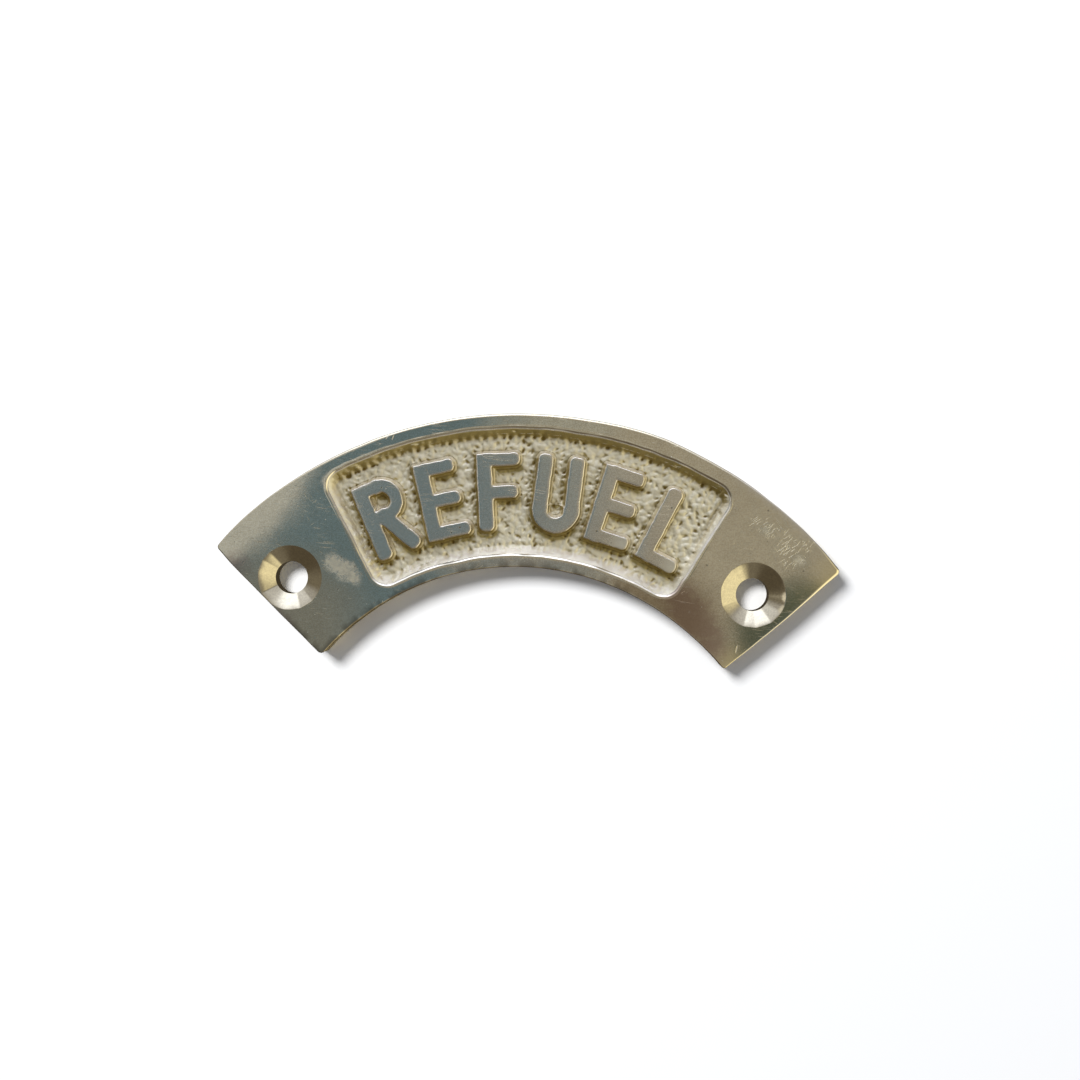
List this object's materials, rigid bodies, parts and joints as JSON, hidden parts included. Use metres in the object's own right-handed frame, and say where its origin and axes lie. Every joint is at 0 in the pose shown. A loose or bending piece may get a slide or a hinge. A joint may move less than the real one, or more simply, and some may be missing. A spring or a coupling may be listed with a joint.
{
  "type": "curved tally plate",
  "caption": "Arc-shaped cast brass label plate with raised block letters in a pebbled panel and a countersunk hole at each end, to fit round a round deck filler.",
  "frame": {"origin": "middle of the plate's bounding box, on the flat back that lies on the deck", "axes": "+Z out of the deck, +Y towards the crown of the arc, +X to the right of someone who reads the word"},
  "size_m": [0.0934, 0.0372, 0.004],
  "materials": {
    "polished_brass": "polished by hand, with fine scratches, small pits and faint tarnish",
    "as_cast_brass": "as cast, pebbled, brushed bright on the high spots and dull olive in the hollows",
    "lettering_brass": "flat tops polished with the rim, soft as-cast flanks"
  },
  "bodies": {
    "root": {"cast_plate": "polished_brass", "recess_ground": "as_cast_brass", "letter_1_r": "lettering_brass", "letter_2_e": "lettering_brass", "letter_3_f": "lettering_brass", "letter_4_u": "lettering_brass", "letter_5_e": "lettering_brass", "letter_6_l": "lettering_brass"}
  },
  "joints": []
}
